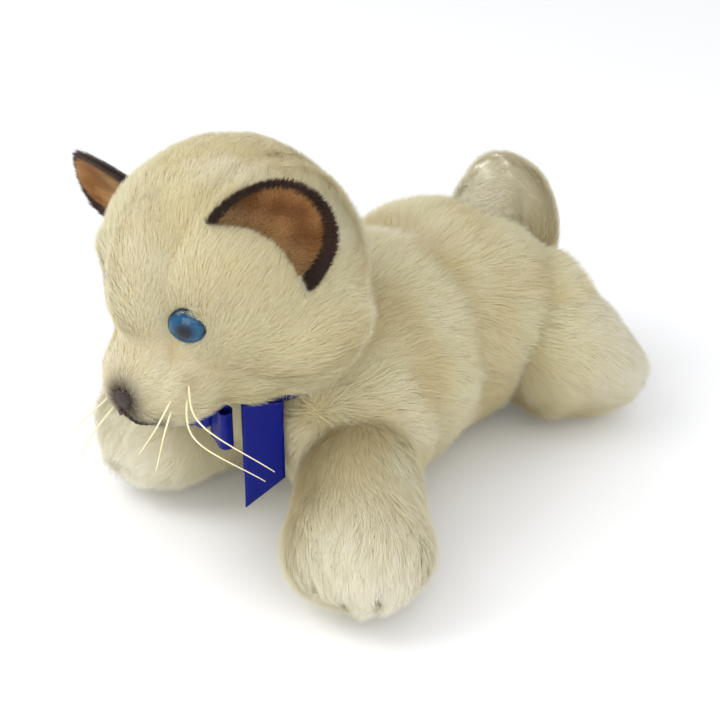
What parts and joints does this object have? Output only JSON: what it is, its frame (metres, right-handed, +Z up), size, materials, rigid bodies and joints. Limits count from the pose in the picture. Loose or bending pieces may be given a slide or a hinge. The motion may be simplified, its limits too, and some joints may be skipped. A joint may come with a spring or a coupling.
{
  "type": "plush cat",
  "caption": "Stuffed plush cat lying on its belly, with turned-out legs, a raised curled tail, safety eyes, whiskers and a neck ribbon.",
  "frame": {"origin": "the plane that the cat lies on, under the middle of the box that holds the whole cat", "axes": "+Z up, the cat faces -Y and its left side is towards +X"},
  "size_m": [0.1816, 0.2634, 0.1716],
  "materials": {
    "cream_pile": "long cut pile, combed flat, silky",
    "pale_pile": "long cut pile, combed flat, silky",
    "ear_outer_pile": "short dense pile, matt",
    "ear_lining_pile": "short combed pile, satin",
    "eye_plastic": "polished dome with a dark pupil",
    "washer_plastic": "moulded, matt",
    "whisker_nylon": "drawn monofilament, semi-gloss",
    "ribbon_satin": "woven satin, glossy along the weave",
    "face_thread": "embroidery thread, satin",
    "fibre_filling": "loose polyester fibre",
    "pouch_cloth": "plain woven cloth"
  },
  "bodies": {
    "torso": {"back_cover_left": "cream_pile", "back_cover_right": "cream_pile", "belly_cover": "pale_pile", "belly_pouch": "pouch_cloth", "torso_filling": "fibre_filling", "ribbon_band": "ribbon_satin", "ribbon_knot": "ribbon_satin", "ribbon_loop_left": "ribbon_satin", "ribbon_loop_right": "ribbon_satin"},
    "neck": {"neck_cover": "cream_pile", "neck_filling": "fibre_filling"},
    "head": {"cheek_cover_left": "cream_pile", "cheek_cover_right": "cream_pile", "chin_cover": "pale_pile", "eye_left": "eye_plastic", "eye_right": "eye_plastic", "eye_washer_left": "washer_plastic", "eye_washer_right": "washer_plastic", "forehead_gusset": "cream_pile", "head_filling": "fibre_filling", "mouth_thread": "face_thread", "nose_embroidery": "face_thread", "whisker_left_1": "whisker_nylon", "whisker_left_2": "whisker_nylon", "whisker_left_3": "whisker_nylon", "whisker_left_4": "whisker_nylon", "whisker_right_1": "whisker_nylon", "whisker_right_2": "whisker_nylon", "whisker_right_3": "whisker_nylon", "whisker_right_4": "whisker_nylon"},
    "ear_left": {"ear_outer_left": "ear_outer_pile", "ear_lining_left": "ear_lining_pile"},
    "ear_right": {"ear_outer_right": "ear_outer_pile", "ear_lining_right": "ear_lining_pile"},
    "front_leg_left": {"front_leg_left_cover": "cream_pile", "front_leg_left_filling": "fibre_filling", "front_leg_left_pouch": "pouch_cloth", "front_leg_left_sole": "pale_pile"},
    "front_leg_right": {"front_leg_right_cover": "cream_pile", "front_leg_right_filling": "fibre_filling", "front_leg_right_pouch": "pouch_cloth", "front_leg_right_sole": "pale_pile"},
    "hind_leg_left": {"hind_leg_left_cover": "cream_pile", "hind_leg_left_filling": "fibre_filling", "hind_leg_left_pouch": "pouch_cloth", "hind_leg_left_sole": "pale_pile"},
    "hind_leg_right": {"hind_leg_right_cover": "cream_pile", "hind_leg_right_filling": "fibre_filling", "hind_leg_right_pouch": "pouch_cloth", "hind_leg_right_sole": "pale_pile"},
    "tail": {"tail_cover_left": "cream_pile", "tail_cover_right": "cream_pile", "tail_filling": "fibre_filling"},
    "ribbon_tails": {"ribbon_tail_left": "ribbon_satin", "ribbon_tail_right": "ribbon_satin"}
  },
  "joints": [
    {"name": "neck_turn", "type": "hinge", "parent": "torso", "child": "neck", "pos_m": [-0.01145, -0.04315, 0.076], "axis": [0, 0, 1], "range_deg": [-12, 12]},
    {"name": "head_nod", "type": "hinge", "parent": "neck", "child": "head", "pos_m": [-0.01145, -0.04315, 0.076], "axis": [1, 0, 0], "range_deg": [-5, 3]},
    {"name": "ear_left_fold", "type": "hinge", "parent": "head", "child": "ear_left", "pos_m": [0.02355, -0.07497, 0.14239], "axis": [0.6679, 0.4879, -0.562], "range_deg": [-12, 20], "stiffness_Nm_per_rad": 0.004},
    {"name": "ear_right_fold", "type": "hinge", "parent": "head", "child": "ear_right", "pos_m": [-0.05345, -0.0716, 0.12983], "axis": [0.2059, -0.2811, 0.9373], "range_deg": [-12, 20], "stiffness_Nm_per_rad": 0.004},
    {"name": "front_leg_left_swing", "type": "hinge", "parent": "torso", "child": "front_leg_left", "pos_m": [0.02455, -0.03115, 0.03], "axis": [0, 0, 1], "range_deg": [-12, 18]},
    {"name": "front_leg_right_swing", "type": "hinge", "parent": "torso", "child": "front_leg_right", "pos_m": [-0.04345, -0.01215, 0.03], "axis": [0, 0, 1], "range_deg": [-24, 8]},
    {"name": "hind_leg_left_swing", "type": "hinge", "parent": "torso", "child": "hind_leg_left", "pos_m": [0.02455, 0.07685, 0.03], "axis": [0, 0, 1], "range_deg": [-14, 14]},
    {"name": "hind_leg_right_swing", "type": "hinge", "parent": "torso", "child": "hind_leg_right", "pos_m": [-0.04745, 0.07685, 0.03], "axis": [0, 0, 1], "range_deg": [-14, 14]},
    {"name": "tail_wag", "type": "hinge", "parent": "torso", "child": "tail", "pos_m": [-0.01145, 0.10085, 0.06], "axis": [0, 0, 1], "range_deg": [-20, 20]},
    {"name": "ribbon_tails_swing", "type": "hinge", "parent": "torso", "child": "ribbon_tails", "pos_m": [0.00505, -0.06815, 0.061], "axis": [-0.7314, -0.682, 0], "range_deg": [-5, 12]}
  ]
}
